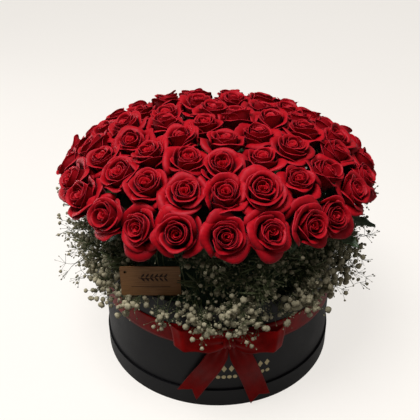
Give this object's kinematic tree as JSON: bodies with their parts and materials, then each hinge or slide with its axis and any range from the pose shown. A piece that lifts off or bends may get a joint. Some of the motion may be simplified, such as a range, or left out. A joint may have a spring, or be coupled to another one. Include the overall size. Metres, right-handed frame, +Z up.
{
  "type": "flower box",
  "caption": "Round paper-covered gift box standing in its own lid, tied with a satin bow and filled with a dome of red roses over a collar of gypsophila.",
  "frame": {"origin": "centre of the lid's underside, on the surface that it stands on", "axes": "+Z up; -Y is the front, where the bow is; +X to the right of someone facing the front"},
  "size_m": [0.4831, 0.471, 0.3817],
  "materials": {
    "greyboard": "matt",
    "covering_paper": "fine textured black paper",
    "satin_ribbon": "satin",
    "liner": "gloss",
    "floral_foam": "fine open-cell foam",
    "rose_petal": "velvety petal",
    "rose_stem": "green stem",
    "leaf": "waxy leaf",
    "gypsophila": "small cream florets",
    "sprig": "green sprig",
    "card": "thin veneer card",
    "pick": "plain wood"
  },
  "bodies": {
    "lid": {"lid_board": "greyboard", "lid_rim": "greyboard", "lid_wrap": "covering_paper"},
    "box": {"bow_knot": "satin_ribbon", "bow_loop_left": "satin_ribbon", "bow_loop_right": "satin_ribbon", "bow_tail_left": "satin_ribbon", "bow_tail_right": "satin_ribbon", "box_base": "greyboard", "box_wall": "greyboard", "box_wrap": "covering_paper", "ribbon_band": "satin_ribbon"},
    "arrangement": {"foam_brick_lower_1": "floral_foam", "foam_brick_lower_2": "floral_foam", "foam_brick_lower_3": "floral_foam", "foam_brick_lower_4": "floral_foam", "foam_brick_upper_1": "floral_foam", "foam_brick_upper_2": "floral_foam", "foam_brick_upper_3": "floral_foam", "foam_brick_upper_4": "floral_foam", "foam_filler_back": "floral_foam", "foam_filler_front": "floral_foam", "gypsophila_back": "gypsophila", "gypsophila_back_left": "gypsophila", "gypsophila_back_right": "gypsophila", "gypsophila_front": "gypsophila", "gypsophila_front_left": "gypsophila", "gypsophila_front_right": "gypsophila", "gypsophila_left": "gypsophila", "gypsophila_right": "gypsophila", "gypsophila_stems": "sprig", "liner": "liner", "rose_heads_crown": "rose_petal", "rose_heads_lower_1": "rose_petal", "rose_heads_lower_2": "rose_petal", "rose_heads_lower_3": "rose_petal", "rose_heads_lower_4": "rose_petal", "rose_heads_middle_1": "rose_petal", "rose_heads_middle_2": "rose_petal", "rose_heads_middle_3": "rose_petal", "rose_heads_skirt_1": "rose_petal", "rose_heads_skirt_2": "rose_petal", "rose_heads_skirt_3": "rose_petal", "rose_heads_skirt_4": "rose_petal", "rose_heads_upper": "rose_petal", "rose_leaves": "leaf", "rose_stems_crown": "rose_stem", "rose_stems_lower": "rose_stem", "rose_stems_middle": "rose_stem", "rose_stems_skirt": "rose_stem", "rose_stems_upper": "rose_stem"},
    "tag": {"tag_card": "card", "tag_pick": "pick"}
  },
  "joints": [
    {"name": "box_lift", "type": "slide", "parent": "lid", "child": "box", "axis": [0, 0, 1], "range_m": [0, 0.04]},
    {"name": "arrangement_lift", "type": "slide", "parent": "box", "child": "arrangement", "axis": [0, 0, 1], "range_m": [0, 0.2]},
    {"name": "tag_pull", "type": "slide", "parent": "arrangement", "child": "tag", "axis": [-0.455, -0.8078, 0.3746], "range_m": [0, 0.06]}
  ]
}
